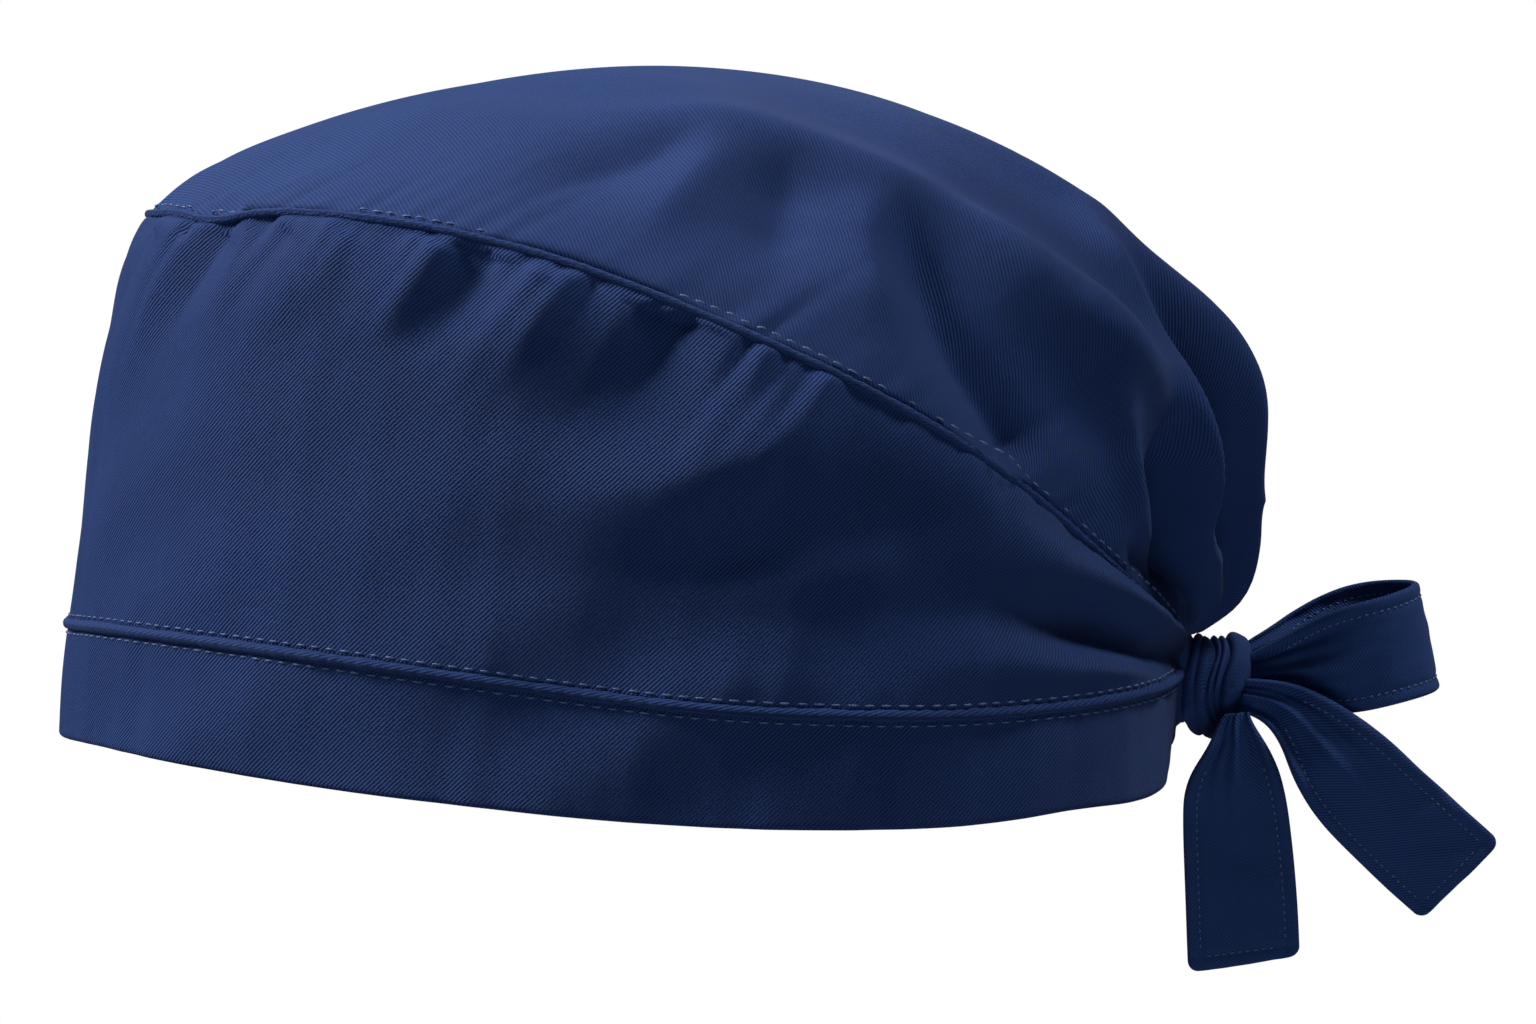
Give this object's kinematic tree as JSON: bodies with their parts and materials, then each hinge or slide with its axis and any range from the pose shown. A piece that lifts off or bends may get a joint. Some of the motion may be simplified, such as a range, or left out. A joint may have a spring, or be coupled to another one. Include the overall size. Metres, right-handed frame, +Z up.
{
  "type": "scrub cap",
  "caption": "Cloth scrub cap with a headband, side panel and crown gathered at the back into a knot with a loop and two hanging ties.",
  "frame": {"origin": "middle of the head opening, at the height of the lowest point of the rim, where the head sits", "axes": "+Z up through the crown, +Y towards the knot at the back, +X to the wearer's left; the head goes in along +Z"},
  "size_m": [0.1692, 0.2814, 0.1744],
  "materials": {
    "headband_cloth": "navy cotton twill, matt",
    "side_panel_cloth": "navy cotton twill, matt",
    "crown_cloth": "navy cotton twill, matt",
    "band_piping_cloth": "navy cotton twill, rolled",
    "crown_piping_cloth": "navy cotton twill, rolled",
    "knot_cloth": "navy cotton twill, folded",
    "loop_cloth": "navy cotton twill, doubled",
    "near_tail_cloth": "navy cotton twill, doubled",
    "far_tail_cloth": "navy cotton twill, doubled"
  },
  "bodies": {
    "root": {"headband": "headband_cloth", "side_panel": "side_panel_cloth", "crown_panel": "crown_cloth", "band_piping": "band_piping_cloth", "crown_piping": "crown_piping_cloth", "tie_knot": "knot_cloth", "bow_loop": "loop_cloth", "tie_tail_near": "near_tail_cloth", "tie_tail_far": "far_tail_cloth"}
  },
  "joints": []
}
